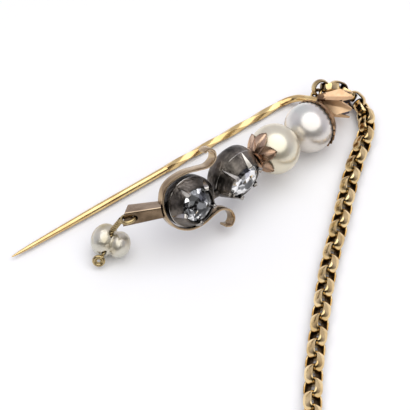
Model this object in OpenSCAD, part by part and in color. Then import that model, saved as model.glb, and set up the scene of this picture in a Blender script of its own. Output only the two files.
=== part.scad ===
// A double stick pin: a gold pin with a row of two pearls and two diamonds and a small
// drop, lying on its stem, chained to a plain second pin.

/* [Pin stem] */
// Length of the straight stem, from its tip to the bend
stem_l = 40.2; // [34:0.1:48]
// Radius of the round shank
stem_r = 0.45; // [0.4:0.01:0.48]
// Where the tip's short cone ends and its long taper starts
tip_l = 2.6; // [1.5:0.1:4]
// Where the taper ends and the plain round shank starts
taper_l = 12; // [8:0.5:13]
// Where the twisted square grip starts
grip_from = 22; // [20:0.5:26]
// Radius over the corners of the grip
grip_r = 0.52; // [0.48:0.01:0.54]
// Quarter turns that the grip makes
grip_quarters = 4; // [2:1:6]
// Radius of the bend at the stem's end
bend_r = 2; // [1.5:0.1:2.5]

/* [Row of stones] */
// Angle between the stem and the row, seen from above
row_turn = 7.5; // [5:0.1:9]
// Angle at which the row rises towards its drop end
row_rise = 8.5; // [7:0.1:9.5]
// Distance from the lower diamond's centre to the upper diamond's
lower_step = 7.3; // [7.1:0.05:7.6]
// Distance from the upper diamond's centre to the lower pearl's
middle_step = 6.83; // [6.7:0.01:7]
// Distance between the centres of the two pearls
pearl_step = 6.03; // [5.98:0.01:6.1]
// Radius of a pearl across the row
pearl_r = 3.1; // [3:0.01:3.12]
// Half of a pearl's length along the row
pearl_half = 2.98; // [2.9:0.01:2.98]
// Turn of the lower diamond's face about the row, from straight up
lower_face = 63; // [58:1:68]
// Turn of the upper diamond's face about the row, from straight up
upper_face = 88; // [80:1:95]

/* [Chain] */
// Length of a link outside
link_l = 2.62; // [2.6:0.01:2.66]
// Width of a link outside
link_w = 2.1; // [2.08:0.01:2.14]
// Width of the band that a link is bent from
band_w = 0.8; // [0.6:0.01:0.82]
// Thickness of the band
band_t = 0.26; // [0.2:0.01:0.26]
// Distance from link to link
link_step = 1.7; // [1.68:0.01:1.72]

/* [Drop] */
// Length of the hollow arm that carries the drop
arm_l = 4.3; // [4:0.1:4.5]
// Radius over the corners of the arm at its open end
arm_end_r = 1.12; // [1:0.01:1.2]
// Radius over the corners of the arm where it meets the scroll
arm_root_r = 0.9; // [0.8:0.01:0.95]
// Radius of the wire that the drop hangs on
wire_r = 0.19; // [0.15:0.01:0.2]

/* [Second pin] */
// Length of the second pin's stem
second_l = 43; // [38:0.5:48]
// Radius of its ball head
ball_r = 1.5; // [1.3:0.05:1.7]

/* [Hidden] */
$fn = 48;

// Gap between two pieces that aren't soldered, how far soldered forms run into each other, and
// how far round wire runs into its next stretch
gap = 0.04;
lap = 0.3;
wire_lap = 0.1;
// Height of the stem's axis over the table, and the radii of a pin's tip and of its neck
stem_z = 0.52;
tip_r = 0.08;
neck_r = 0.27;
// The part's origin in the frame of the stem's tip: under the middle of the whole part
origin = [7.12, -29.84, 0];

// Centre of the lower diamond's collet
row_start = [18.9, -9.75, 6.55];
row_dir = [
    cos(row_rise) * cos(row_turn),
    cos(row_rise) * sin(row_turn),
    -sin(row_rise)
];
upper_u = lower_step;
pearl2_u = upper_u + middle_step;
pearl1_u = pearl2_u + pearl_step;
function on_row(u) = row_start + u * row_dir;

// The stem's bend: it turns and climbs from the table to the end cap
bend_angle = 84;
bend_climb = 34;
bend_straight = 3.6;
climb_dir = [0, -cos(bend_climb), sin(bend_climb)];
stem_end = [stem_l, 0, stem_z]
    + (bend_r * sin(bend_angle) + bend_straight * cos(bend_angle)) * [1, 0, 0]
    + (bend_r * (1 - cos(bend_angle)) + bend_straight * sin(bend_angle)) * climb_dir;

// The end cap: a small flared bell on the stem's end, opening away from the pearls
cap_dir = unit([2.4, -2.2, -0.3]);
cap_l = 3.7;
cap_r = 0.8;
cap_mouth_r = 1.9;
cap_back = 0.3;
cap_floor = 0.8;
petals = 6;
petal_cut = 1.84;
cap_turn = 32;

// The serrated cup at the far end of the upper pearl
cup_wall = 0.2;
cup_depth = 1.25;
cup_teeth = 24;
tooth = 0.28;
// The peg that threads both pearls
peg_r = 0.4;
drill_r = 0.5;

// The eye on the stem's end and the ring that joins it to the chain
eye_r = 0.64;
eye_wire = 0.22;
eye_at = [43, -3.29, 3.33];
eye_face = [-0.5, 0.34, 0.8];
solder_r = 0.6;
ring_r = 0.95;
ring_wire = 0.22;
ring_at = [43.8, -3.16, 3.79];
ring_face = [-0.19, -0.81, 0.56];

// The chain's route from the ring to the second pin's eye
route = [
    ring_at, [45, -3.4, 3.35], [46.1, -3.7, 2.65], [47, -4.4, 1.95], [47.5, -5.4, 1.5],
    [47.6, -6.5, 1.2], [47.3, -7.8, 1.08], [46.6, -9, 1.08], [45.5, -10.2, 1.08], [44.2, -11.3, 1.08],
    [42.8, -12.2, 1.08], [39.7, -14.4, 1.08], [36.9, -16.7, 1.08], [34.5, -18.7, 1.08],
    [31.9, -20.8, 1.08], [29.3, -22.9, 1.08], [26.7, -25.2, 1.08], [24.2, -27.6, 1.08],
    [21.8, -29.9, 1.08], [19.4, -32.3, 1.08], [17.1, -34.8, 1.08], [14.9, -37.4, 1.08],
    [12.9, -40, 1.08], [10.9, -42.9, 1.08], [9.2, -46.1, 1.08], [7.9, -49.5, 1.08],
    [7, -53, 1.08], [6.6, -56.4, 1.08], [6.5, -59, 1.08]
];
// Distance along the route to the first link, and from the last link to the eye
first_link = 1.38;
last_link = 1.3;
// The first links, where the chain turns, stand closer by this much each
tight_links = 6;
tight_give = 0.3;

// The lower collet's face also turns a little towards the drop
lower_yaw = 8;
// Collets: radius, height of the shoulder in front, depth of the wall and of the whole bowl
lower_collet = [3.05, 1.5, 1.2, 2.1];
upper_collet = [3.27, 1.6, 1.2, 2.2];
// The angles of the claws
lower_claws = [for (i = [0 : 4]) 46 + 72 * i];
upper_claws = [for (i = [0 : 5]) 20 + 60 * i];
// A stone's radius as a share of its collet's, and its height over its girdle
stone_share = 0.67;
stone_h = 0.95;
girdle_h = 0.15;
seat_depth = 0.3;
// Claws: radii at root and tip, and how far they stand over the shoulder
claw_root_r = 0.1;
claw_tip_r = 0.3;
claw_lift = 0.22;
// The bar between the collets: its radius and its place beside and behind the row's line
joint_r = 0.5;
joint_side = -1.1;
joint_back = -0.4;

// Leaf calyx: its axis, how far the leaves lean out from it, and half of a leaf's outline
calyx_dir = unit([-0.98, 0.02, 0.31]);
leaves = 6;
leaf_turn = 12;
leaf_t = 0.2;
leaf_lean = 28;
leaf_edge = [[-1.6, 0.4], [-0.8, 0.8], [0.1, 0.97], [0.8, 0.75], [1.2, 0.42]];
leaf_point = 1.5;
collar_r = 1.05;

// Scroll: the strip's centre line round the lower collet, from curl to curl
scroll_line = [
    [3.3, 4.9], [4.05, 5], [4.6, 4.4], [4.4, 3.5], [3.4, 3.05], [2, 3.3], [0.3, 3.6], [-1.6, 3.4],
    [-2.8, 2.65], [-3.45, 1.1], [-3.45, -0.3], [-2.95, -1.6], [-2.1, -2.6], [-0.7, -3.3],
    [0.9, -3.35], [2.4, -2.9], [3.7, -2.75], [4.75, -3.4], [5.05, -4.5], [4.5, -5.25], [3.7, -5]
];
strip_w = 1;
strip_t = 0.3;
strip_z = -1.2;
// Where the strip's closed end lies, and the width of the lug between it and the collet
scroll_end = -3.5;
lug_w = 1;

// Direction from the row to a viewer who sees all the faces
toward_eye = [-0.37, -0.49, 0.79];

// Drop arm: its root on the scroll and its direction, its side and its drilled face
arm_root = [15.42, -8.95, 7];
arm_dir = unit([-3.2, 2.1, -0.75]);
arm_up = unit(toward_eye - (toward_eye * arm_dir) * arm_dir);
arm_side = cross(arm_up, arm_dir);
arm_turn = 33;
arm_wall = 0.25;
arm_lap = 0.3;
arm_slant = 20;
arm_hole_r = 0.37;
arm_hole_from_end = 1.1;
// The wire's loop, through the hole and the open end
loop_r = 0.8;
loop_x = arm_l - arm_hole_from_end + loop_r;
loop_z = 0.9 * arm_end_r - arm_wall;
loop_out = arm_root + (loop_x + loop_r) * arm_dir
    + loop_z * (cos(arm_turn) * arm_up + sin(arm_turn) * arm_side);

// Drop pearl: two fused lobes, each [radius, half of its thickness, place along the pearl]
pearl_at = [9.95, -6.03, 2];
pearl_dir = [0.53, -0.85, 0];
big_lobe = [2, 1.62, -0.72];
small_lobe = [1.62, 1.3, 1.1];
groove_at = 0.44;
wire_top = [10.45, -5.95, 3.9];
wire_foot = [7.99, -7.01, 1.56];
drop_drill_r = 0.32;
foot_loop_r = 0.56;
foot_loop_at = [7.6, -6.95, 1.17];
foot_loop_face = [-0.54, -0.72, 0.43];

// Second pin: it leans from its ball head to its tip, and its eye sinks into its neck
second_tip_z = 0.2;
second_lean = asin((ball_r - second_tip_z) / second_l);
second_eye_r = 0.9;
second_eye_wire = 0.25;
second_eye_sink = 0.32;
ball_off = 2.1;
// Its neck, which swells from past the eye to the ball
second_neck_from_r = 0.52;
second_neck_r = 0.8;
second_neck_l = 3.6;

function unit(v) = v / norm(v);

// A Catmull-Rom curve through p, with n steps from point to point
function bow(a, b, c, d, t) = 0.5 * (2 * b + (c - a) * t
    + (2 * a - 5 * b + 4 * c - d) * t * t + (3 * b - a - 3 * c + d) * t * t * t);
function curve(p, n) = [
    for (i = [0 : len(p) - 2], k = [0 : n - 1])
        bow(p[max(i - 1, 0)], p[i], p[i + 1], p[min(i + 2, len(p) - 1)], k / n),
    p[len(p) - 1]
];
// The distance along a line of points, at each point
function mileage(p) = [
    for (i = 0, s = 0; i < len(p); i = i + 1, s = i < len(p) ? s + norm(p[i] - p[i - 1]) : s) s
];

route_line = curve(route, 8);
route_s = mileage(route_line);
function route_at(s) = [
    for (axis = [0 : 2]) lookup(s, [for (i = [0 : len(route_line) - 1]) [route_s[i], route_line[i][axis]]])
];
function link_roll(k) = k % 2 == 0 ? -45 : 45;
function link_s(k) = first_link + k * link_step - tight_give * min(k, tight_links);
route_l = route_s[len(route_s) - 1] + tight_give * tight_links;
link_count = floor((route_l - first_link - last_link) / link_step) + 1;
last_s = link_s(link_count - 1);
chain_end = route_at(last_s + last_link);

// Turns +Z to v
module facing(v) {
    rotate([0, acos(v.z / norm(v)), atan2(v.y, v.x)]) children();
}

// Turns +X to v, with local Y level, then rolls about it
module along(v, roll = 0) {
    rotate([0, -asin(v.z / norm(v)), atan2(v.y, v.x)]) rotate([roll, 0, 0]) children();
}

// At a distance u along the row, X along the row and Z turned by roll from straight up
module row_frame(u, roll = 0) {
    translate(on_row(u)) along(row_dir, roll) children();
}

// At the lower collet, Z out of its face
module lower_frame() {
    row_frame(0, lower_face) rotate([0, -lower_yaw, 0]) children();
}

module rod(from, to, r1, r2) {
    translate(from) facing(to - from) cylinder(h = norm(to - from), r1 = r1, r2 = r2);
}

// Moves the whole part from the stem's tip to its own origin
module home() {
    translate(-origin) children();
}

module ring(r, wire) {
    rotate_extrude() translate([r, 0]) circle(wire, $fn = 24);
}

// A solid through rings of points, all with the same count, closed at both ends
module loft(rings) {
    n = len(rings[0]);
    m = len(rings);
    faces = [
        [for (k = [0 : n - 1]) k],
        for (i = [0 : m - 2], k = [0 : n - 1]) each [
            [i * n + k, (i + 1) * n + (k + 1) % n, i * n + (k + 1) % n],
            [i * n + k, (i + 1) * n + k, (i + 1) * n + (k + 1) % n]
        ],
        [for (k = [0 : n - 1]) m * n - 1 - k]
    ];
    polyhedron([for (ring = rings) each ring], faces);
}

// A square with cut corners across X, with radius r over the corners
function cut_square(x, r, turn) = [
    for (corner = [0 : 3], side = [-1, 1])
        [x, r * cos(90 * corner + side * 13 + turn), r * sin(90 * corner + side * 13 + turn)]
];

// A regular ring of n points round Z
function round_ring(r, z, n, turn = 0) = [
    for (k = [0 : n - 1]) [r * cos(360 * k / n + turn), r * sin(360 * k / n + turn), z]
];

// Half of an oval's outline, round the Z axis
function half_oval(r, h, n) = [for (i = [0 : n]) [r * sin(180 * i / n), -h * cos(180 * i / n)]];

// A line of points moved sideways by d
function beside(p, d) = [
    for (i = [0 : len(p) - 1])
        let (t = unit(p[min(i + 1, len(p) - 1)] - p[max(i - 1, 0)])) p[i] + d * [-t.y, t.x]
];

// A pin's tip and round shank, its axis along X
module shank(length) {
    rotate([0, 90, 0]) {
        cylinder(h = tip_l, r1 = tip_r, r2 = neck_r);
        translate([0, 0, tip_l]) cylinder(h = taper_l - tip_l, r1 = neck_r, r2 = stem_r);
        translate([0, 0, taper_l]) cylinder(h = length - taper_l, r = stem_r);
    }
}

// The shank on the table and its twisted square grip
module stem() {
    grip_l = stem_l + lap / 2 - grip_from;
    steps = grip_quarters * 6;
    translate([0, 0, stem_z]) {
        shank(grip_from + wire_lap);
        loft([
            for (i = [0 : steps])
                cut_square(grip_from + grip_l * i / steps, grip_r, 90 * grip_quarters * i / steps)
        ]);
    }
}

// The bend, which turns and climbs to the end cap, and the straight end after it
module stem_bend() {
    translate([stem_l, 0, stem_z]) rotate([-bend_climb, 0, 0]) {
        translate([0, -bend_r, 0]) rotate([0, 0, 90 - bend_angle])
            rotate_extrude(angle = bend_angle) translate([bend_r, 0]) circle(stem_r);
        translate([bend_r * sin(bend_angle), -bend_r * (1 - cos(bend_angle)), 0])
            rotate([0, 90, -bend_angle]) translate([0, 0, -wire_lap])
                cylinder(h = bend_straight + wire_lap, r = 1.04 * stem_r);
    }
}

// The flared bell on the stem's end, its rim cut into pointed petals
module end_cap() {
    translate(stem_end) facing(cap_dir) rotate([0, 0, cap_turn]) difference() {
        bell_form();
        translate([0, 0, cap_floor]) bell_form();
        for (i = [0 : petals / 2 - 1])
            translate([0, 0, cap_l]) rotate([0, 0, i * 360 / petals]) rotate([45, 0, 0])
                cube([3 * cap_mouth_r, petal_cut, petal_cut], center = true);
    }
}

module bell_form() {
    translate([0, 0, -cap_back])
        cylinder(h = cap_l + cap_back, r1 = cap_r, r2 = cap_mouth_r, $fn = petals);
}

// The cup over the end of the upper pearl, with a toothed rim
module upper_cup() {
    outer_r = pearl_r + gap + cup_wall;
    row_frame(pearl1_u) rotate([0, 90, 0]) difference() {
        rotate([90, 0, 0]) sphere(outer_r);
        rotate([90, 0, 0]) sphere(pearl_r + gap);
        translate([0, 0, cup_depth - 2 * outer_r]) cube(4 * outer_r, center = true);
        for (i = [0 : cup_teeth - 1]) rotate([0, 0, 360 * i / cup_teeth])
            translate([pearl_r, 0, cup_depth]) rotate([45, 0, 0]) cube([2, tooth, tooth], center = true);
    }
}

// The peg that both pearls are threaded on, through the cup's wall
module peg() {
    row_frame(pearl2_u - pearl_half - gap) rotate([0, 90, 0])
        cylinder(h = pearl_step + pearl_half + pearl_r + cup_wall + 5 * gap, r = peg_r);
}

// Solder between the cup and the end cap, and the eye on its little post
module solder_and_eye() {
    cap_point = stem_end + cap_back * cap_dir;
    cup_point = on_row(pearl1_u) + (pearl_r + 2 * gap) * unit(cap_point - on_row(pearl1_u));
    rod(cap_point, cup_point, solder_r, solder_r);
    translate(eye_at) facing(eye_face) ring(eye_r, eye_wire);
}

module pin_stem() {
    color("goldenrod") home() {
        stem();
        stem_bend();
        end_cap();
        solder_and_eye();
        upper_cup();
        peg();
    }
}

// A drilled pearl, its hole along the row
module pearl(u) {
    row_frame(u) rotate([0, 90, 0]) difference() {
        rotate_extrude() polygon(half_oval(pearl_r, pearl_half, 20));
        cylinder(h = 3 * pearl_half, r = drill_r, center = true);
    }
}

module upper_pearl() {
    color("whitesmoke") home() pearl(pearl1_u);
}

module lower_pearl() {
    color("linen") home() pearl(pearl2_u);
}

// The collar that takes the peg's end, and the pointed leaves that hold the pearl
module leaf_calyx() {
    inner_r = pearl_r + gap;
    collar_to = middle_step - upper_collet[0] - gap;
    color("rosybrown") home() difference() {
        union() {
            translate(on_row(pearl2_u)) facing(calyx_dir) intersection() {
                difference() {
                    sphere(inner_r + leaf_t);
                    sphere(inner_r);
                }
                for (i = [0 : leaves - 1])
                    rotate([0, 0, 360 * i / leaves + leaf_turn]) rotate([0, leaf_lean, 0]) leaf();
            }
            row_frame(pearl2_u) rotate([0, -90, 0]) translate([0, 0, pearl_half + gap])
                cylinder(h = collar_to - pearl_half - gap, r = collar_r);
        }
        row_frame(pearl2_u) rotate([0, -90, 0]) cylinder(h = pearl_half + 2 * gap, r = drill_r);
    }
}

// The column that a leaf is cut from, from the pearl's centre outwards
module leaf() {
    linear_extrude(2 * pearl_r) polygon([
        each leaf_edge,
        [leaf_point, 0],
        for (k = [len(leaf_edge) - 1 : -1 : 0]) [leaf_edge[k].x, -leaf_edge[k].y]
    ]);
}

// The half section of a collet: [distance from its axis, height], from the bowl to the seat
function collet_section(c) = let (r = c[0], top = c[1], wall = c[2], back = c[3]) [
    [0, -back], [0.6 * r, -back], [0.88 * r, -0.4 * wall - 0.6 * back], [0.98 * r, -wall], [r, -0.7 * wall],
    [r, 0], [(stone_share + 0.06) * r, top], [stone_share * r, top], [stone_share * r, top - seat_depth],
    [0.58 * r, top - seat_depth], [0.5 * r, top - 0.9], [0, top - 0.9]
];

// A closed silver collet with its teardrop claws, which lie on the shoulder
module collet(c, claws) {
    rotate_extrude() polygon(collet_section(c));
    for (claw = claws) rotate([0, 0, claw]) {
        tip = [(stone_share + 0.03) * c[0], 0, c[1] + claw_lift];
        rod([c[0] - claw_root_r, 0, claw_lift], tip, claw_root_r, claw_tip_r);
        translate(tip) sphere(claw_tip_r);
    }
}

// Both collets and the short bar between them
module collet_pair() {
    color("dimgray") home() {
        lower_frame() collet(lower_collet, lower_claws);
        row_frame(upper_u, upper_face) collet(upper_collet, upper_claws);
        joint_l = lower_step - lower_collet[0] - upper_collet[0] + 2 * lap;
        row_frame(lower_collet[0] - lap, lower_face) translate([0, joint_side, joint_back])
            rotate([0, 90, 0]) cylinder(h = joint_l, r = joint_r);
    }
}

// A domed cut stone: a girdle, two rows of facets and a table
module stone(c) {
    r = stone_share * c[0] - gap;
    translate([0, 0, c[1] - seat_depth + gap]) loft([
        round_ring(r, 0, 12),
        round_ring(r, girdle_h, 12),
        round_ring(0.72 * r, 0.68 * stone_h, 12, 15),
        round_ring(0.3 * r, stone_h, 12)
    ]);
}

module upper_diamond() {
    color("gainsboro") home() row_frame(upper_u, upper_face) stone(upper_collet);
}

module lower_diamond() {
    color("gainsboro") home() lower_frame() stone(lower_collet);
}

// The flat strip bent into a lyre behind the lower collet, with curled ends
module scroll() {
    line = curve(scroll_line, 5);
    inside = beside(line, -strip_t / 2);
    lower_frame() translate([0, 0, strip_z]) {
        linear_extrude(strip_w) polygon([
            each beside(line, strip_t / 2),
            for (i = [len(inside) - 1 : -1 : 0]) inside[i]
        ]);
        translate([scroll_end - lap, -lug_w / 2, 0])
            cube([-scroll_end - lower_collet[0] - gap + lap, lug_w, strip_w * 0.6]);
    }
}

// The hollow arm, tapered and four-sided, cut off at a slant and drilled for the drop's wire
module drop_arm() {
    arm_frame() difference() {
        loft([cut_square(-arm_lap, arm_root_r, 45), cut_square(arm_l + 1, arm_end_r, 45)]);
        loft([
            cut_square(arm_l / 2, (arm_root_r + arm_end_r) / 2 - 1.2 * arm_wall, 45),
            cut_square(arm_l + 1.1, arm_end_r - 1.2 * arm_wall, 45)
        ]);
        translate([arm_l - arm_hole_from_end, 0, 0]) cylinder(h = 2, r = arm_hole_r);
        translate([arm_l, 0, 0]) rotate([arm_turn, 0, 0]) rotate([0, 0, -arm_slant])
            translate([0, -3, -3]) cube(6);
    }
}

module scroll_arm() {
    color("tan") home() {
        scroll();
        difference() {
            drop_arm();
            lower_frame() cylinder(h = 6, r = lower_collet[0] + 2 * gap, center = true);
        }
    }
}

// Puts X along the arm, from its root, and Z out of the face that its hole is in
module arm_frame() {
    multmatrix([
        [arm_dir.x, arm_side.x, arm_up.x, arm_root.x],
        [arm_dir.y, arm_side.y, arm_up.y, arm_root.y],
        [arm_dir.z, arm_side.z, arm_up.z, arm_root.z]
    ]) rotate([-arm_turn, 0, 0]) children();
}

// The wire: a loop through the arm's hole, its stem through the pearl, and a loop at its foot
module drop_wire() {
    color("darkgoldenrod") home() {
        arm_frame() translate([loop_x, 0, loop_z]) rotate([90, 0, 0]) ring(loop_r, wire_r);
        rod(loop_out, wire_top, 1.15 * wire_r, 1.15 * wire_r);
        translate(wire_top) sphere(1.4 * wire_r);
        rod(wire_top, wire_foot, 1.15 * wire_r, 1.15 * wire_r);
        translate(foot_loop_at) facing(foot_loop_face) ring(foot_loop_r, wire_r);
    }
}

// The baroque drop pearl: two fused lobes, drilled beside the groove between them
module drop_pearl() {
    color("lightgray") home() difference() {
        translate(pearl_at) facing(pearl_dir) rotate_extrude() polygon([
            for (p = half_oval(big_lobe[0], big_lobe[1], 16)) if (p.y + big_lobe[2] < groove_at)
                [p.x, p.y + big_lobe[2]],
            for (p = half_oval(small_lobe[0], small_lobe[1], 16)) if (p.y + small_lobe[2] > groove_at)
                [p.x, p.y + small_lobe[2]]
        ]);
        rod(wire_top + 0.3 * (wire_top - wire_foot), wire_foot + 0.3 * (wire_foot - wire_top),
            drop_drill_r, drop_drill_r);
    }
}

module jump_ring() {
    color("goldenrod") home() translate(ring_at) facing(ring_face) ring(ring_r, ring_wire);
}

// Section of a link's band: flat inside and rounded outside, at its distance from the bend's axis
module band_section() {
    out = link_w / 2;
    in = out - band_t;
    half = band_w / 2;
    polygon([
        [in, 0.1 - half], [in, half - 0.1], [in + 0.06, half], [out - 0.1, half],
        [out - 0.02, 0.5 * half], [out - 0.02, -0.5 * half], [out - 0.1, -half], [in + 0.06, -half]
    ]);
}

// An oval link of flat-rounded band, its length along X
module link() {
    straight = link_l - link_w;
    for (end = [0, 1]) rotate([0, 0, 180 * end]) {
        translate([straight / 2, 0, 0]) rotate([0, 0, -90]) rotate_extrude(angle = 180) band_section();
        translate([-straight / 2, 0, 0]) rotate([90, 0, 90]) linear_extrude(straight) band_section();
    }
}

// Links along the route, turned by turns to either side
module chain() {
    color("darkkhaki") home() for (k = [0 : link_count - 1]) {
        reach = (link_s(k + 1) - link_s(k)) / 2;
        translate(route_at(link_s(k)))
            along(route_at(link_s(k) + reach) - route_at(link_s(k) - reach), link_roll(k)) link();
    }
}

// A plain pin of the same make: a straight shank, a swelling neck, a ball head and an eye for the chain
module second_pin() {
    neck = chain_end - [0, second_eye_r + second_eye_sink, 0];
    color("goldenrod") home() {
        translate(chain_end) along(chain_end - route_at(last_s), link_roll(link_count))
            ring(second_eye_r, second_eye_wire);
        translate([neck.x + ball_off, neck.y, ball_r]) {
            sphere(ball_r);
            rotate([0, -second_lean, 0]) {
                translate([-second_l, 0, 0]) shank(second_l);
                translate([-second_neck_l, 0, 0]) rotate([0, 90, 0])
                    cylinder(h = second_neck_l, r1 = second_neck_from_r, r2 = second_neck_r);
            }
        }
    }
}

pin_stem();
upper_pearl();
lower_pearl();
leaf_calyx();
collet_pair();
upper_diamond();
lower_diamond();
scroll_arm();
drop_wire();
drop_pearl();
jump_ring();
chain();
second_pin();
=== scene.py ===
import math
import random

import bmesh
import bpy
from mathutils import Matrix, Vector, noise


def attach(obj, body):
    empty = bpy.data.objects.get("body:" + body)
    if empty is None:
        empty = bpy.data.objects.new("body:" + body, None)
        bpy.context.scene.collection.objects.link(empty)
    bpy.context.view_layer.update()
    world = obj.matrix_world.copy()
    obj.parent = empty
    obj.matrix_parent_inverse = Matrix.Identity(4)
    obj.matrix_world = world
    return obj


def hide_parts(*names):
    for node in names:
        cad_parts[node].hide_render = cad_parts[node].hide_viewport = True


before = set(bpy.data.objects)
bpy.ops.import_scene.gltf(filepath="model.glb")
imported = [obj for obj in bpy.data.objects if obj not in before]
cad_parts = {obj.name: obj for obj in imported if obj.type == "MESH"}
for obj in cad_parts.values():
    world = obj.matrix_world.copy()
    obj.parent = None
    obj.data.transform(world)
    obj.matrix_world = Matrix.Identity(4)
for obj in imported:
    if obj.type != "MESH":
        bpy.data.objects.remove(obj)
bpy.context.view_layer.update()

# Camera, table and light: the pin lies on a white table under one big soft light overhead. It is
# seen from the near side, 52 degrees above the table, with a long lens, as in the photograph.
# Lengths here are millimetres from the stem's tip, and to_frame brings them to the part's frame.
to_frame = Matrix.Scale(0.001, 4) @ Matrix.Translation((-7.12, 29.84, 0))
away = Vector((0.5966, 0.8025, 0))
right = Vector((0.8025, -0.5966, 0))
camera_at, look_at = Vector((-46.05, -99.84, 148.11)), Vector((22.98, -6.98, 0))
lens = bpy.data.cameras.new("camera")
lens.sensor_width = 36
lens.lens = 136.98
lens.clip_start = 0.005
camera = bpy.data.objects.new("camera", lens)
camera.location = to_frame @ camera_at
camera.rotation_mode = "QUATERNION"
camera.rotation_quaternion = (to_frame @ look_at - camera.location).to_track_quat("-Z", "Y")
bpy.context.scene.collection.objects.link(camera)
bpy.context.scene.camera = camera


def plain(name, colour, rough):
    """A material with its main values on the shader's own sockets, its nodes, links and shader."""
    finish = bpy.data.materials.new(name)
    finish.use_nodes = True
    nodes, links = finish.node_tree.nodes, finish.node_tree.links
    shader = nodes["Principled BSDF"]
    shader.inputs["Base Color"].default_value = (*colour, 1)
    shader.inputs["Roughness"].default_value = rough
    return finish, nodes, links, shader


def ramp(nodes, links, value, stops):
    """A colour ramp over a value; stops are (position, (r, g, b))."""
    band = nodes.new("ShaderNodeValToRGB")
    while len(band.color_ramp.elements) < len(stops):
        band.color_ramp.elements.new(0.5)
    for element, (position, colour) in zip(band.color_ramp.elements, stops):
        element.position = position
        element.color = (*colour, 1)
    links.new(value, band.inputs["Fac"])
    return band.outputs["Color"]


table_half, table_drop = 1.5, 0.00002
bm = bmesh.new()
bmesh.ops.create_grid(bm, x_segments=1, y_segments=1, size=table_half)
table = bpy.data.objects.new("table", bpy.data.meshes.new("table"))
bm.to_mesh(table.data)
bm.free()
table.data.materials.append(plain("white_table", (0.93, 0.93, 0.93), 0.9)[0])
table.location = (0, 0, -table_drop)
bpy.context.scene.collection.objects.link(table)

tent = bpy.data.lights.new("overhead", "AREA")
tent.shape = "DISK"
tent.size = 1.1
tent.energy = 4.9
overhead = bpy.data.objects.new("overhead", tent)
overhead.location = 0.55 * (Vector((0, 0, 1)) - 0.2 * away + 0.1 * right)
overhead.rotation_mode = "QUATERNION"
overhead.rotation_quaternion = (-overhead.location).to_track_quat("-Z", "Y")
bpy.context.scene.collection.objects.link(overhead)

# The room round the light is white, but for a dark side behind the camera.
world = bpy.data.worlds.new("studio")
world.use_nodes = True
world_nodes, world_links = world.node_tree.nodes, world.node_tree.links
backdrop = world_nodes["Background"]
direction = world_nodes.new("ShaderNodeTexCoord")
dark_side = world_nodes.new("ShaderNodeVectorMath")
dark_side.operation = "DOT_PRODUCT"
dark_side.inputs[1].default_value = (-0.87 * away + Vector((0, 0, 0.5))).normalized()
world_links.new(direction.outputs["Generated"], dark_side.inputs[0])
room = ramp(world_nodes, world_links, dark_side.outputs["Value"],
            [(0, (1.25, 1.24, 1.4)), (0.35, (0.68, 0.68, 0.88)), (0.6, (0.42, 0.4, 0.38)),
             (0.8, (0.06, 0.048, 0.03)), (1, (0.03, 0.022, 0.015))])
world_links.new(room, backdrop.inputs["Color"])
backdrop.inputs["Strength"].default_value = 0.5
bpy.context.scene.world = world
bpy.context.scene.view_settings.view_transform = "Standard"

# Stem: one length of 0.9 mm round gold wire, filed to a long point, its middle squared and twisted
# to grip the cloth, and its end bent up and over to carry the row of stones.
stem_l, stem_r, stem_z = 40.2, 0.45, 0.52
point_l, taper_l, point_r, point_end_r = 2.6, 12, 0.08, 0.27
grip_from, grip_r, grip_quarters, grip_steps, lap = 22, 0.52, 4, 96, 0.3
grip_bevel, shoulder_l, shoulder_share = 0.12, 0.35, 0.78
bend_r, bend_angle, bend_climb, bend_straight = 2, math.radians(84), math.radians(34), 3.6


def speckle(nodes, links, scale, detail=3, stretch=(1, 1, 1)):
    """Noise on the piece's own place, scale in bumps per metre; returns its Fac socket."""
    place = nodes.new("ShaderNodeTexCoord")
    mapping = nodes.new("ShaderNodeMapping")
    mapping.inputs["Scale"].default_value = stretch
    grain = nodes.new("ShaderNodeTexNoise")
    grain.inputs["Scale"].default_value = scale
    grain.inputs["Detail"].default_value = detail
    links.new(place.outputs["Object"], mapping.inputs["Vector"])
    links.new(mapping.outputs["Vector"], grain.inputs["Vector"])
    return grain.outputs["Fac"]


def spread(nodes, links, value, low, high, out_of=(0, 1)):
    """A value brought from the range out_of to the range from low to high."""
    scale = nodes.new("ShaderNodeMapRange")
    scale.inputs["From Min"].default_value, scale.inputs["From Max"].default_value = out_of
    scale.inputs["To Min"].default_value = low
    scale.inputs["To Max"].default_value = high
    links.new(value, scale.inputs["Value"])
    return scale.outputs["Result"]


def dimple(nodes, links, shader, height, strength, deep):
    """Fine relief on the shader, deep metres at full strength."""
    bump = nodes.new("ShaderNodeBump")
    bump.inputs["Strength"].default_value = strength
    bump.inputs["Distance"].default_value = deep
    links.new(height, bump.inputs["Height"])
    links.new(bump.outputs["Normal"], shader.inputs["Normal"])


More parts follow.
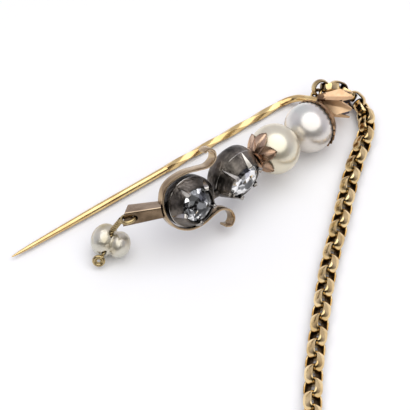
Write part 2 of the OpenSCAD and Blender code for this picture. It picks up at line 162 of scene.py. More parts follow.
def metal(name, colour, shade, rough, grime_and_shade_colour=(0.05, 0.03, 0.02), grime_and_shade=0.5, reach=0.8,
          streak=(1, 1, 1), relief=0.12, deep=0.00004):
    """Worn metal: two tints in soft patches, fine scratches, and darkening where surfaces meet that
    is partly grime and partly painted shade.
    """
    finish, nodes, links, shader = plain(name, colour, rough)
    shader.inputs["Metallic"].default_value = 1
    tint = ramp(nodes, links, speckle(nodes, links, 500, 4), [(0.35, shade), (0.62, colour)])
    # Ambient occlusion darkens crevices and joins towards the grime colour: grime and painted
    # shade.
    crevice_occlusion = nodes.new("ShaderNodeAmbientOcclusion")
    crevice_occlusion.samples = 8
    crevice_occlusion.inputs["Distance"].default_value = reach / 1000
    grime_and_shade_mix = nodes.new("ShaderNodeMix")
    grime_and_shade_mix.data_type = "RGBA"
    grime_and_shade_mix.inputs["B"].default_value = (*grime_and_shade_colour, 1)
    grime_and_shade_amount = spread(nodes, links, crevice_occlusion.outputs["AO"], grime_and_shade, 0, (0.25, 0.85))
    links.new(grime_and_shade_amount, grime_and_shade_mix.inputs["Factor"])
    links.new(tint, grime_and_shade_mix.inputs["A"])
    links.new(grime_and_shade_mix.outputs["Result"], shader.inputs["Base Color"])
    wear = spread(nodes, links, speckle(nodes, links, 2500, 2), rough * 0.7, rough * 1.5)
    links.new(wear, shader.inputs["Roughness"])
    dimple(nodes, links, shader, speckle(nodes, links, 3000, 3, streak), relief, deep)
    return finish


def facing(direction):
    """A turn of +Z to a direction."""
    v = Vector(direction).normalized()
    return Matrix.Rotation(math.atan2(v.y, v.x), 4, "Z") @ Matrix.Rotation(math.acos(v.z), 4, "Y")


def shift(*place):
    return Matrix.Translation(Vector(place))


def points(made):
    """The vertices in what an operator made."""
    return [g for g in made if isinstance(g, bmesh.types.BMVert)]


def lines(made):
    """The edges in what an operator made."""
    return [g for g in made if isinstance(g, bmesh.types.BMEdge)]


def lathe(bm, outline, steps, closed=False):
    """Spins an outline of (distance from the axis, height) about Z; returns the new vertices."""
    line = [bm.verts.new((r, 0, z)) for r, z in outline]
    edges = [bm.edges.new(pair) for pair in zip(line, line[1:])]
    if closed:
        edges.append(bm.edges.new((line[-1], line[0])))
    before = set(bm.verts) - set(line)
    bmesh.ops.spin(bm, geom=line + edges, axis=(0, 0, 1), cent=(0, 0, 0), dvec=(0, 0, 0),
                   angle=math.tau, steps=steps, use_merge=True)
    made = [v for v in bm.verts if v not in before]
    bmesh.ops.remove_doubles(bm, verts=made, dist=0.0005)
    return [v for v in bm.verts if v not in before]


def keep(name, bm, finish, node, place=Matrix(), crease=35):
    """Makes the finished piece at the origin, smooth up to the crease angle, for a CAD node."""
    bmesh.ops.recalc_face_normals(bm, faces=bm.faces)
    bm.transform(to_frame @ place)
    mesh = bpy.data.meshes.new(name)
    bm.to_mesh(mesh)
    bm.free()
    mesh.shade_smooth()
    mesh.set_sharp_from_angle(angle=math.radians(crease))
    mesh.materials.append(finish)
    piece = bpy.data.objects.new(name, mesh)
    bpy.context.scene.collection.objects.link(piece)
    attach(piece, "root")
    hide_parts(node)
    return piece


def shank(length):
    """The outline of a pin's point, taper and round wire, from its rounded tip."""
    return [(0, 0), (0.6 * point_r, 0.02), (point_r, 0.09), (0.19, 1.1), (point_end_r, point_l),
            (0.33, 5), (0.39, 8), (stem_r, taper_l), (stem_r, (taper_l + length) / 2),
            (stem_r, length), (0, length)]


gold = metal("worn_yellow_gold", (0.86, 0.65, 0.31), (0.72, 0.49, 0.22), 0.2,
             grime_and_shade_colour=(0.14, 0.07, 0.03), grime_and_shade=0.7, reach=1.2, relief=0.03)

bm = bmesh.new()
lathe(bm, shank(grip_from + lap), 32)
keep("stem_shank", bm, gold, "pin_stem", shift(0, 0, stem_z) @ facing((1, 0, 0)))

bm = bmesh.new()
grip_l = stem_l + lap / 2 - grip_from
bmesh.ops.create_circle(bm, segments=4, radius=1.07 * grip_r)
bmesh.ops.bevel(bm, geom=bm.verts[:], offset=grip_bevel, segments=2, profile=0.5,
                affect="VERTICES", material=-1)
last = bmesh.ops.spin(bm, geom=bm.verts[:] + bm.edges[:], axis=(0, 0, 1), cent=(0, 0, 0),
                      dvec=(0, 0, grip_l / grip_steps), angle=math.radians(90 * grip_quarters),
                      steps=grip_steps)["geom_last"]
first = [e for e in bm.edges if e.is_boundary and max(v.co.z for v in e.verts) < 0.01]
for rim, step in ((lines(last), shoulder_l), (first, -shoulder_l)):
    shoulder = points(bmesh.ops.extrude_edge_only(bm, edges=rim)["geom"])
    bmesh.ops.translate(bm, verts=shoulder, vec=(0, 0, step))
    bmesh.ops.scale(bm, verts=shoulder, vec=(shoulder_share, shoulder_share, 1))
bmesh.ops.holes_fill(bm, edges=bm.edges[:], sides=0)
keep("stem_twisted_grip", bm, gold, "pin_stem",
     shift(grip_from, 0, stem_z) @ facing((1, 0, 0)), crease=25)

climb = Vector((0, -math.cos(bend_climb), math.sin(bend_climb)))
bend_in = bend_r * math.sin(bend_angle) + bend_straight * math.cos(bend_angle)
bend_out = bend_r * (1 - math.cos(bend_angle)) + bend_straight * math.sin(bend_angle)
stem_end = Vector((stem_l + bend_in, 0, stem_z)) + bend_out * climb
bm = bmesh.new()
bmesh.ops.create_circle(bm, segments=32, radius=stem_r, matrix=Matrix.Rotation(math.pi / 2, 4, "Y"))
bmesh.ops.translate(bm, verts=bm.verts[:], vec=(-lap, 0, 0))
rim = bmesh.ops.extrude_edge_only(bm, edges=bm.edges[:])["geom"]
bmesh.ops.translate(bm, verts=points(rim), vec=(lap, 0, 0))
turned = bmesh.ops.spin(bm, geom=points(rim) + lines(rim), axis=(0, 0, -1), cent=(0, -bend_r, 0),
                        dvec=(0, 0, 0), angle=bend_angle, steps=24)["geom_last"]
rim = bmesh.ops.extrude_edge_only(bm, edges=lines(turned))["geom"]
bmesh.ops.translate(bm, verts=points(rim),
                    vec=bend_straight * Vector((math.cos(bend_angle), -math.sin(bend_angle), 0)))
bmesh.ops.holes_fill(bm, edges=bm.edges[:], sides=0)
keep("stem_bend", bm, gold, "pin_stem",
     shift(stem_l, 0, stem_z) @ Matrix.Rotation(-bend_climb, 4, "X"))

# Bell: a six-sided flared cap, folded from gold sheet and soldered on the stem's end, its rim filed
# into petals by a notch on each ridge. Its hollow is painted near black and its small end painted
# dark:
# painted shade inside the bell and in the gap by the cup.
bell_dir = Vector((2.4, -2.2, -0.3)).normalized()
bell_l, bell_back, bell_r, bell_mouth_r, bell_wall = 3.95, 0.3, 0.8, 1.9, 0.2
bell_sides, bell_turn, bell_flare, bell_steps, bell_rows = 6, 32, 1.1, 72, 9
notch, notch_half, painted_shade_end = 1.7, 0.72, 0.5
bell_gold = metal("bell_gold", (0.9, 0.66, 0.42), (0.74, 0.49, 0.28), 0.5,
                  grime_and_shade_colour=(0.03, 0.022, 0.025), grime_and_shade=0.95, reach=1.6)
bell_hollow_painted_shade = metal("bell_hollow_painted_shade", (0.09, 0.08, 0.09), (0.04, 0.035, 0.045), 0.4)
# Dark gold for the bell's small end, the cup and its solder: painted shade of the gap between cup
# and bell.
painted_shade_gold = metal("gap_painted_shade_gold", (0.36, 0.22, 0.12), (0.14, 0.08, 0.045), 0.32,
                  grime_and_shade_colour=(0.02, 0.012, 0.01), grime_and_shade=0.95, reach=1.0)
bm = bmesh.new()
bmesh.ops.create_circle(bm, segments=bell_steps, radius=1, cap_ends=True)
rim = [e for e in bm.edges if e.is_boundary]
for _ in range(bell_rows):
    made = bmesh.ops.extrude_edge_only(bm, edges=rim)["geom"]
    bmesh.ops.translate(bm, verts=points(made), vec=(0, 0, 1))
    rim = [e for e in lines(made) if e.is_boundary]
side = math.radians(360 / bell_sides)
for v in bm.verts:
    share = v.co.z / bell_rows
    angle = math.atan2(v.co.y, v.co.x) % side
    from_ridge = min(angle, side - angle)
    flat = math.cos(side / 2) / math.cos(side / 2 - from_ridge)
    radius = (bell_r + (bell_mouth_r - bell_r) * share ** bell_flare) * flat
    filed = notch * max(0, 1 - radius * math.sin(from_ridge) / notch_half)
    v.co.x *= radius
    v.co.y *= radius
    v.co.z = -bell_back + (bell_l + bell_back - filed) * share
bmesh.ops.recalc_face_normals(bm, faces=bm.faces)
bmesh.ops.solidify(bm, geom=bm.faces[:], thickness=bell_wall)
bmesh.ops.recalc_face_normals(bm, faces=bm.faces)
# Faces inside the bell and its floor take near black, the small end dark gold: painted shade.
for f in bm.faces:
    middle = f.calc_center_median()
    looks_in = f.normal.xy.dot(middle.xy) < -0.3 * middle.xy.length
    is_floor = f.normal.z > 0.9 and middle.xy.length < bell_r
    if looks_in or is_floor:
        f.material_index = 1
    elif middle.z < painted_shade_end:
        f.material_index = 2
bell = keep("bell_cap", bm, bell_gold, "pin_stem", shift(*stem_end)
            @ facing(bell_dir) @ Matrix.Rotation(math.radians(bell_turn), 4, "Z"), crease=28)
bell.data.materials.append(bell_hollow_painted_shade)
bell.data.materials.append(painted_shade_gold)

# Toothed cup: a gold cup over the far end of the upper pearl, its rim cut into small teeth. The cup
# and the solder bead are painted dark, as painted shade of the gap under the bell. The peg that
# threads both pearls comes through its wall and is riveted over, and a bead of solder holds the cup
# on the bell.
row_start = Vector((18.9, -9.75, 6.55))
row_turn, row_rise = math.radians(7.5), math.radians(8.5)
row_dir = Vector((math.cos(row_rise) * math.cos(row_turn), math.cos(row_rise) * math.sin(row_turn),
                  -math.sin(row_rise)))
row_axis = Matrix.Rotation(math.pi / 2, 4, "Y")
collet_step, calyx_step, pearl_step = 7.3, 6.83, 6.03
pearl_r, pearl_half, gap = 3.1, 2.98, 0.04
lower_pearl_u = collet_step + calyx_step
upper_pearl_u = lower_pearl_u + pearl_step
cup_wall, cup_depth, cup_teeth, tooth, tooth_flare, cup_rows = 0.2, 1.25, 24, 0.28, 0.12, 12
peg_r = 0.4


def along(direction, roll=0):
    """A turn of +X to a direction with Y level, then a roll about it, in degrees."""
    v = Vector(direction).normalized()
    level = Matrix.Rotation(math.atan2(v.y, v.x), 4, "Z") @ Matrix.Rotation(-math.asin(v.z), 4, "Y")
    return level @ Matrix.Rotation(math.radians(roll), 4, "X")


def on_row(u):
    return row_start + u * row_dir


def row_frame(u, roll=0):
    """At a distance along the row, X along it and Z turned by roll from straight up."""
    return shift(*on_row(u)) @ along(row_dir, roll)


cup_r = pearl_r + gap + cup_wall
cup_arc = math.acos((cup_depth + tooth) / cup_r)
arc_angles = [cup_arc * i / cup_rows for i in range(cup_rows + 1)] + [cup_arc * 1.04]
bm = bmesh.new()
lathe(bm, [(cup_r * math.sin(a), cup_r * math.cos(a)) for a in arc_angles], 4 * cup_teeth)
for v in bm.verts:
    if v.co.z < cup_depth + 0.9 * tooth:
        phase = (math.atan2(v.co.y, v.co.x) / math.tau * cup_teeth) % 1
        point = 1 - 2 * abs(phase - 0.5)
        v.co.z -= tooth * point
        v.co *= (cup_r + tooth_flare * point) / v.co.length
bmesh.ops.recalc_face_normals(bm, faces=bm.faces)
bmesh.ops.solidify(bm, geom=bm.faces[:], thickness=cup_wall)
keep("toothed_cup", bm, painted_shade_gold, "pin_stem", row_frame(upper_pearl_u) @ row_axis)

peg_l = pearl_step + pearl_half + pearl_r + cup_wall + 5 * gap
bm = bmesh.new()
lathe(bm, [(0, 0), (0.8 * peg_r, 0), (peg_r, 0.08), (peg_r, peg_l - 0.15),
           (0.8 * peg_r, peg_l - 0.04), (0, peg_l)], 20)
keep("pearl_peg", bm, gold, "pin_stem",
     row_frame(lower_pearl_u - pearl_half - gap) @ row_axis)

# The seed keeps the bead's uneven skin, and the collets' dents, the same each time.
solder_from = stem_end + bell_back * bell_dir
solder_side = (solder_from - on_row(upper_pearl_u)).normalized()
solder_to = on_row(upper_pearl_u) + (pearl_r + 2 * gap) * solder_side
solder_l = (solder_to - solder_from).length
bm = bmesh.new()
lathe(bm, [(r, share * solder_l) for r, share in (
    (0, 0), (0.3, 0), (0.5, 0), (0.58, 0.1), (0.62, 0.25), (0.6, 0.45), (0.58, 0.6), (0.61, 0.8),
    (0.66, 1), (0.35, 1), (0, 1))], 24)
noise.seed_set(4)
for v in bm.verts:
    v.co += 0.08 * noise.noise_vector(v.co * 1.7)
keep("cup_solder", bm, painted_shade_gold, "pin_stem",
     shift(*solder_from) @ facing(solder_to - solder_from))

# Eye: a small ring of gold wire, bent round and soldered shut on the side of the stem's end. The
# chain's jump ring hangs in it.
eye_at, eye_face, eye_r, eye_wire = Vector((43, -3.29, 3.33)), (-0.5, 0.34, 0.8), 0.64, 0.22


def edges_of(verts):
    """The edges at some vertices, each once."""
    return list(dict.fromkeys(e for v in verts for e in v.link_edges))


def ring(bm, radius, wire, steps=48, sides=16):
    """A ring of round wire about Z."""
    wire_end = bmesh.ops.create_circle(bm, segments=sides, radius=wire, matrix=shift(radius, 0, 0)
                                       @ Matrix.Rotation(math.pi / 2, 4, "X"))["verts"]
    bmesh.ops.spin(bm, geom=wire_end + edges_of(wire_end), axis=(0, 0, 1), cent=(0, 0, 0),
                   dvec=(0, 0, 0), angle=math.tau, steps=steps, use_merge=True)


bm = bmesh.new()
ring(bm, eye_r, eye_wire)
keep("stem_eye", bm, gold, "pin_stem", shift(*eye_at) @ facing(eye_face))

# Pearls: two cultured pearls of 6 mm, drilled and threaded on the peg. The upper one is silvery
# white and the lower one cream, both smooth, with a deep soft lustre and a faint pink and green.
drill_r, pearl_rings, uneven = 0.5, 40, 0.012


def nacre(name, body, blush, sheen, rough=0.28, ripple=0.06, deep=0.00003, fine=1500):
    """Pearl: cloudy tints under a clear skin, smooth or finely rippled."""
    finish, nodes, links, shader = plain(name, body, rough)
    clouds = speckle(nodes, links, 260, 2)
    links.new(ramp(nodes, links, clouds, [(0.3, blush), (0.5, body), (0.7, sheen)]),
              shader.inputs["Base Color"])
    shader.inputs["Metallic"].default_value = 0.68
    shader.inputs["IOR"].default_value = 1.66
    shader.inputs["Subsurface Weight"].default_value = 0.15
    shader.inputs["Subsurface Radius"].default_value = (0.001, 0.0008, 0.0007)
    shader.inputs["Subsurface Scale"].default_value = 0.5
    shader.inputs["Coat Weight"].default_value = 0.35
    shader.inputs["Coat Roughness"].default_value = 0.2
    shader.inputs["Coat IOR"].default_value = 1.6
    dimple(nodes, links, shader, speckle(nodes, links, fine, 3), ripple, deep)
    return finish


def pearl(name, node, u, finish, seed):
    start = math.asin(drill_r / pearl_r)
    angles = [start + (math.pi - 2 * start) * i / pearl_rings for i in range(pearl_rings + 1)]
    bm = bmesh.new()
    lathe(bm, [(pearl_r * math.sin(a), -pearl_half * math.cos(a)) for a in angles], 64, closed=True)
    for v in bm.verts:
        if v.co.xy.length > drill_r + 0.01:
            v.co += v.co.normalized() * uneven * noise.noise(v.co * 0.45 + Vector((seed, 0, 0)))
    keep(name, bm, finish, node, row_frame(u) @ row_axis, crease=60)


silver_nacre = nacre("silver_white_nacre", (0.75, 0.71, 0.66), (0.68, 0.62, 0.56),
                     (0.66, 0.67, 0.62))
pearl("white_pearl", "upper_pearl", upper_pearl_u, silver_nacre, 3)
cream_nacre = nacre("cream_nacre", (0.75, 0.69, 0.54), (0.68, 0.6, 0.44), (0.72, 0.7, 0.56))
pearl("cream_pearl", "lower_pearl", lower_pearl_u, cream_nacre, 8)

# Leaf calyx: six pointed leaves of rose gold, sawn from sheet, domed over the pearl's end and
# soldered to a collar that takes the peg's end.
calyx_dir = Vector((-0.98, 0.02, 0.31)).normalized()
leaves, leaf_turn, leaf_t, leaf_lean, leaf_sink = 6, 12, 0.2, 28, 0.06
leaf_edge = [(-1.6, 0.4), (-0.8, 0.8), (0.1, 0.97), (0.8, 0.75), (1.2, 0.42), (1.5, 0)]
leaf_from, leaf_to = leaf_edge[0][0], leaf_edge[-1][0]
rib_h, rib_half, lip_h = 0.1, 0.16, 0.08
upper_collet_r = 3.27
collar_r, collar_from, collar_to = 1.05, pearl_half + gap, calyx_step - upper_collet_r - gap
rose = metal("rose_gold", (0.68, 0.48, 0.34), (0.4, 0.25, 0.16), 0.26, grime_and_shade_colour=(0.05, 0.025, 0.015),
             grime_and_shade=0.95, reach=0.9)


def half_width(x):
    """A leaf's half width at x along its midrib."""
    for (x0, w0), (x1, w1) in zip(leaf_edge, leaf_edge[1:]):
        if x <= x1:
            return w0 + (w1 - w0) * max(0, x - x0) / (x1 - x0)
    return 0


bm = bmesh.new()
dome_r = pearl_r + gap + leaf_t
for i in range(leaves):
    blade = bmesh.ops.create_grid(bm, x_segments=22, y_segments=12, size=0.5)["verts"]
    for v in blade:
        x = leaf_from + (v.co.x + 0.5) * (leaf_to - leaf_from)
        across = 2 * v.co.y
        y = across * max(0.02, half_width(x))
        rib = rib_h * math.exp(-(across / rib_half) ** 2) + lip_h * abs(across) ** 6
        v.co = (x, y, math.sqrt(dome_r ** 2 - x * x - y * y) + rib - leaf_sink)
    turn = math.radians(360 / leaves * i + leaf_turn)
    bmesh.ops.transform(bm, verts=blade, matrix=Matrix.Rotation(turn, 4, "Z")
                        @ Matrix.Rotation(math.radians(leaf_lean), 4, "Y"))
inner_wall = points(bmesh.ops.extrude_face_region(bm, geom=bm.faces[:])["geom"])
inward = 1 - 0.8 * leaf_t / pearl_r
bmesh.ops.scale(bm, verts=inner_wall, vec=(inward, inward, inward))
keep("calyx_leaves", bm, rose, "leaf_calyx",
     shift(*on_row(lower_pearl_u)) @ facing(calyx_dir), crease=30)

bm = bmesh.new()
lathe(bm, [(0, collar_from), (0.9 * collar_r, collar_from), (collar_r, collar_from + 0.06),
           (0.96 * collar_r, (collar_from + collar_to) / 2), (collar_r, collar_to - 0.06),
           (0.9 * collar_r, collar_to), (0, collar_to)], 40)
keep("calyx_collar", bm, rose, "leaf_calyx",
     row_frame(lower_pearl_u) @ Matrix.Rotation(-math.pi / 2, 4, "Y"))

# Collets: two closed cups raised from silver, gone dark, each with a sharp rim, a sloping shoulder
# filed down to the stone, and long teardrop claws laid over the shoulder. A short bar joins them.
upper_face, lower_face, lower_yaw = 88, 63, 8
# A collet's size: its radius at the rim, the height of its top, its wall and its back.
lower_collet = (3.05, 1.5, 1.2, 2.1)
upper_collet = (upper_collet_r, 1.6, 1.2, 2.2)
lower_claws = [46 + 72 * i for i in range(5)]
upper_claws = [20 + 60 * i for i in range(6)]
stone_share, seat_depth, dent = 0.67, 0.3, 0.035
joint_r, joint_side, joint_back = 0.5, -1.1, -0.4
lower_frame = row_frame(0, lower_face) @ Matrix.Rotation(math.radians(-lower_yaw), 4, "Y")
upper_frame = row_frame(collet_step, upper_face)
silver = metal("dark_silver", (0.2, 0.175, 0.15), (0.026, 0.023, 0.02), 0.34,
               grime_and_shade_colour=(0.012, 0.012, 0.012), grime_and_shade=0.95, reach=0.9, streak=(1, 1, 0.3), relief=0.7,
               deep=0.0002)
claw_silver = metal("bright_silver", (0.66, 0.63, 0.58), (0.22, 0.2, 0.18), 0.2,
                    grime_and_shade_colour=(0.02, 0.02, 0.02), grime_and_shade=0.9, reach=0.8)


def collet(name, size, claws, place, swell=1):
    """A cup with its bright rim and its claws; swell widens the side towards the pearls."""
    r, top, wall, back = size
    bm = bmesh.new()
    lathe(bm, [(0, -back), (0.35 * r, -back), (0.6 * r, -back + 0.02),
               (0.78 * r, -0.2 * wall - 0.8 * back), (0.88 * r, -0.4 * wall - 0.6 * back),
               (0.95 * r, -0.7 * wall - 0.3 * back), (0.985 * r, -wall), (r, -0.7 * wall),
               (r, -0.08), (0.985 * r, 0.03), ((stone_share + 0.075) * r, top - 0.03),
               ((stone_share + 0.055) * r, top), ((stone_share + 0.01) * r, top),
               (stone_share * r, top - 0.05), (stone_share * r, top - seat_depth),
               (0.58 * r, top - seat_depth), (0.5 * r, top - 0.9), (0, top - 0.9)], 72)
    for v in bm.verts:
        if v.co.z < top - 0.2:
            v.co += dent * noise.noise_vector(v.co * 0.8 + Vector((r, 0, 0)))
            v.co.x *= swell if v.co.x > 0 else 1
    keep(name + "_collet", bm, silver, "collet_pair", place, crease=28)

    bm = bmesh.new()
    ring(bm, 0.975 * r, 0.055, 72, 10)
    for v in bm.verts:
        v.co.x *= swell if v.co.x > 0 else 1
    keep(name + "_rim", bm, claw_silver, "collet_pair", place)

    bm = bmesh.new()
    root, tip = Vector((r - 0.12, 0, 0.16)), Vector(((stone_share + 0.03) * r, 0, top + 0.2))
    claw_l = (tip - root).length
    for angle in claws:
        made = lathe(bm, [(0, -0.1), (0.05, 0), (0.16, 0.3 * claw_l), (0.32, 0.75 * claw_l),
                          (0.38, claw_l), (0.33, claw_l + 0.14), (0.16, claw_l + 0.26),
                          (0, claw_l + 0.3)], 4)
        bmesh.ops.transform(bm, verts=made, matrix=Matrix.Rotation(math.radians(angle), 4, "Z")
                            @ shift(*root) @ facing(tip - root))
    keep(name + "_claws", bm, claw_silver, "collet_pair", place, crease=35)


collet("lower", lower_collet, lower_claws, lower_frame, 1.08)
collet("upper", upper_collet, upper_claws, upper_frame)

joint_l = collet_step - lower_collet[0] - upper_collet[0] + 2 * lap
bm = bmesh.new()
lathe(bm, [(0, 0), (joint_r, 0), (0.9 * joint_r, 0.35 * joint_l), (0.9 * joint_r, 0.65 * joint_l),
           (joint_r, joint_l), (0, joint_l)], 20)
keep("collet_bar", bm, silver, "collet_pair",
     row_frame(lower_collet[0] - lap, lower_face) @ shift(0, joint_side, joint_back) @ row_axis)

# Diamonds: two old-cut stones sunk in the collets, each with a small table and rows of facets. Each
# facet's colour is a painted reflection of white, grey and near black.
stone_h, girdle_h, table_painted_reflection, facet_share = 0.95, 0.15, 0.35, 0.55
# Each row of corners: its radius as a share, its height, its corners and its turn in degrees.
facet_rows = [(1, 0, 24, 0), (1, girdle_h, 24, 0), (0.8, 0.55 * stone_h, 12, 15),
              (0.56, 0.86 * stone_h, 12, 0), (0.34, stone_h, 12, 15)]


def painted_sparkle(name):
    """Cut stone: a painted reflection tone for each facet, broken by small painted reflections of
    the facets beneath.
    """
    finish, nodes, links, shader = plain(name, (0.8, 0.82, 0.84), 0.06)
    shader.inputs["Metallic"].default_value = 0.75
    shader.inputs["IOR"].default_value = 2.2
    shader.inputs["Coat Weight"].default_value = 0.3
    shader.inputs["Coat Roughness"].default_value = 0.02
    tone = nodes.new("ShaderNodeAttribute")
    tone.attribute_name = "facet_painted_reflection"
    place = nodes.new("ShaderNodeTexCoord")
    cells = nodes.new("ShaderNodeTexVoronoi")
    cells.inputs["Scale"].default_value = 1500
    links.new(place.outputs["Object"], cells.inputs["Vector"])
    split = nodes.new("ShaderNodeSeparateColor")
    links.new(cells.outputs["Color"], split.inputs["Color"])
    facets = nodes.new("ShaderNodeMath")
    facets.operation = "MULTIPLY"
    facets.inputs[1].default_value = facet_share
    links.new(tone.outputs["Fac"], facets.inputs[0])
    blend = nodes.new("ShaderNodeMath")
    blend.operation = "MULTIPLY_ADD"
    blend.inputs[1].default_value = 1 - facet_share
    links.new(split.outputs["Red"], blend.inputs[0])
    links.new(facets.outputs["Value"], blend.inputs[2])
    shade = ramp(nodes, links, blend.outputs["Value"],
                 [(0.3, (0.006, 0.006, 0.007)), (0.46, (0.06, 0.062, 0.066)),
                  (0.62, (0.22, 0.225, 0.23)), (0.78, (1, 1, 1))])
    links.new(shade, shader.inputs["Base Color"])
    return finish


cut_stone = painted_sparkle("cut_diamond")


def diamond(name, node, size, place, seed, reflection_lift=0):
    r = stone_share * size[0] - gap
    bm = bmesh.new()
    for share, height, corners, turn in facet_rows:
        bmesh.ops.create_circle(bm, segments=corners, radius=share * r, matrix=shift(0, 0, height)
                                @ Matrix.Rotation(math.radians(turn), 4, "Z"))
    hull = bmesh.ops.convex_hull(bm, input=bm.verts[:])
    bmesh.ops.delete(bm, geom=points(hull["geom_interior"]), context="VERTS")
    bmesh.ops.dissolve_limit(bm, angle_limit=0.01, verts=bm.verts[:], edges=bm.edges[:])
    piece = keep(name, bm, cut_stone, node,
                 place @ shift(0, 0, size[1] - seat_depth + gap), crease=0.5)
    faces = piece.data.polygons
    up = place.to_3x3() @ Vector((0, 0, 1))
    table_area = max(f.area for f in faces if f.normal.dot(up) > 0.5)
    draw = random.Random(seed)
    # Each facet gets a random painted reflection tone, and the table a fixed one.
    tone = piece.data.attributes.new("facet_painted_reflection", "FLOAT", "FACE")
    tone.data.foreach_set("value", [table_painted_reflection if f.area == table_area else draw.random() + reflection_lift
                                    for f in faces])


diamond("lower_stone", "lower_diamond", lower_collet, lower_frame, 5)
diamond("upper_stone", "upper_diamond", upper_collet, upper_frame, 6, 0.35)

# Scroll: a flat strip of reddish gold bent round the lower collet into a lyre with two curled ends,
# and soldered to it by a lug at its closed end. The strip is wider towards its curls.
scroll_line = [
    (3.3, 4.9), (4.05, 5), (4.6, 4.4), (4.4, 3.5), (3.4, 3.05), (2, 3.3), (0.3, 3.6), (-1.6, 3.4),
    (-2.8, 2.65), (-3.45, 1.1), (-3.45, -0.3), (-2.95, -1.6), (-2.1, -2.6), (-0.7, -3.3),
    (0.9, -3.35), (2.4, -2.9), (3.7, -2.75), (4.75, -3.4), (5.05, -4.5), (4.5, -5.25), (3.7, -5)
]
strip_w, strip_t, strip_z, strip_round = 1, 0.3, -1.2, 0.06
curl_extra, widens_from, widens_over = 0.35, -3, 5
scroll_end, lug_w = -3.5, 1
tan = metal("reddish_gold", (0.58, 0.44, 0.28), (0.36, 0.26, 0.16), 0.2,
            grime_and_shade_colour=(0.035, 0.022, 0.014), grime_and_shade=0.95, reach=1.3)


def curve(places, steps):
    """A smooth line through the places, with a number of steps from each to the next."""
    p = [Vector(q) for q in places]
    line = []
    for i in range(len(p) - 1):
        a, b, c, d = p[max(i - 1, 0)], p[i], p[i + 1], p[min(i + 2, len(p) - 1)]
        for k in range(steps):
            t = k / steps
            line.append(0.5 * (2 * b + (c - a) * t + (2 * a - 5 * b + 4 * c - d) * t * t
                               + (3 * b - a - 3 * c + d) * t ** 3))
    return line + [p[-1]]


def beside(line, distance):
    """A flat line moved sideways."""
    moved = []
    for i, p in enumerate(line):
        t = (line[min(i + 1, len(line) - 1)] - line[max(i - 1, 0)]).normalized()
        moved.append(Vector((p.x - distance * t.y, p.y + distance * t.x)))
    return moved


bm = bmesh.new()
line = curve(scroll_line, 8)
sides = [[bm.verts.new((p.x, p.y, strip_z)) for p in beside(line, side * strip_t / 2)]
         for side in (1, -1)]
rails = [[bm.edges.new(pair) for pair in zip(side, side[1:])] for side in sides]
bottom = bmesh.ops.bridge_loops(bm, edges=rails[0] + rails[1])["faces"]
for v in points(bmesh.ops.extrude_face_region(bm, geom=bottom)["geom"]):
    v.co.z += strip_w + curl_extra * min(1, max(0, (v.co.x - widens_from) / widens_over))
bmesh.ops.recalc_face_normals(bm, faces=bm.faces)
sharp = [e for e in bm.edges if len(e.link_faces) == 2 and e.calc_face_angle() > 0.8]
bmesh.ops.bevel(bm, geom=sharp, offset=strip_round, segments=2, profile=0.5, affect="EDGES",
                material=-1)
lug_l = -scroll_end - lower_collet[0] - gap + lap
lug = bmesh.ops.create_cube(bm, size=1)["verts"]
bmesh.ops.transform(bm, verts=lug,
                    matrix=shift(scroll_end - lap + lug_l / 2, 0, strip_z + 0.3 * strip_w)
                    @ Matrix.Diagonal((lug_l, lug_w, 0.6 * strip_w, 1)))
keep("scroll_strip", bm, tan, "scroll_arm", lower_frame, crease=30)

# Drop arm: a hollow four-sided arm of the same reddish gold, tapered, soldered to the scroll's
# closed end, cut off at a slant and drilled in its near face for the drop's wire. The near face is
# painted dark: a painted reflection of the dark room behind the camera.
arm_l, arm_end_r, arm_root_r, arm_wall = 4.3, 1.12, 0.9, 0.25
arm_turn, arm_slant, arm_round = math.radians(33), math.radians(20), 0.16
arm_hole_r, arm_hole_back = 0.37, 1.1
arm_root = Vector((15.42, -8.95, 7))
arm_dir = Vector((-3.2, 2.1, -0.75)).normalized()
near_side = Vector((-0.37, -0.49, 0.79))
arm_up = (near_side - near_side.dot(arm_dir) * arm_dir).normalized()
arm_side = arm_up.cross(arm_dir)
arm_frame = (shift(*arm_root) @ Matrix((arm_dir, arm_side, arm_up)).transposed().to_4x4()
             @ Matrix.Rotation(-arm_turn, 4, "X"))
arm_gold = metal("arm_gold", (0.52, 0.4, 0.28), (0.34, 0.25, 0.17), 0.16,
                 grime_and_shade_colour=(0.035, 0.022, 0.014), grime_and_shade=0.95, reach=0.9)
arm_painted_reflection_gold = metal("arm_near_face_painted_reflection", (0.27, 0.19, 0.12), (0.13, 0.09, 0.055), 0.2,
                  grime_and_shade_colour=(0.03, 0.02, 0.012), grime_and_shade=0.9, reach=0.9)


def cut(piece, tool):
    """Cuts a closed tool, given as a bmesh in place, out of a finished piece."""
    tool.transform(to_frame)
    mesh = bpy.data.meshes.new("tool")
    tool.to_mesh(mesh)
    tool.free()
    cutter = bpy.data.objects.new("tool", mesh)
    bpy.context.scene.collection.objects.link(cutter)
    hole = piece.modifiers.new("hole", "BOOLEAN")
    hole.object = cutter
    hole.solver = "EXACT"
    bpy.context.view_layer.update()
    evaluated = piece.evaluated_get(bpy.context.evaluated_depsgraph_get())
    shaped = bpy.data.meshes.new_from_object(evaluated)
    trimmed = bmesh.new()
    trimmed.from_mesh(shaped)
    bmesh.ops.dissolve_degenerate(trimmed, dist=0.00001, edges=trimmed.edges[:])
    bmesh.ops.triangulate(trimmed, faces=[f for f in trimmed.faces if len(f.verts) > 4])
    trimmed.to_mesh(shaped)
    trimmed.free()
    shaped.shade_smooth()
    shaped.set_sharp_from_angle(angle=math.radians(30))
    piece.modifiers.clear()
    piece.data = shaped
    bpy.data.objects.remove(cutter)


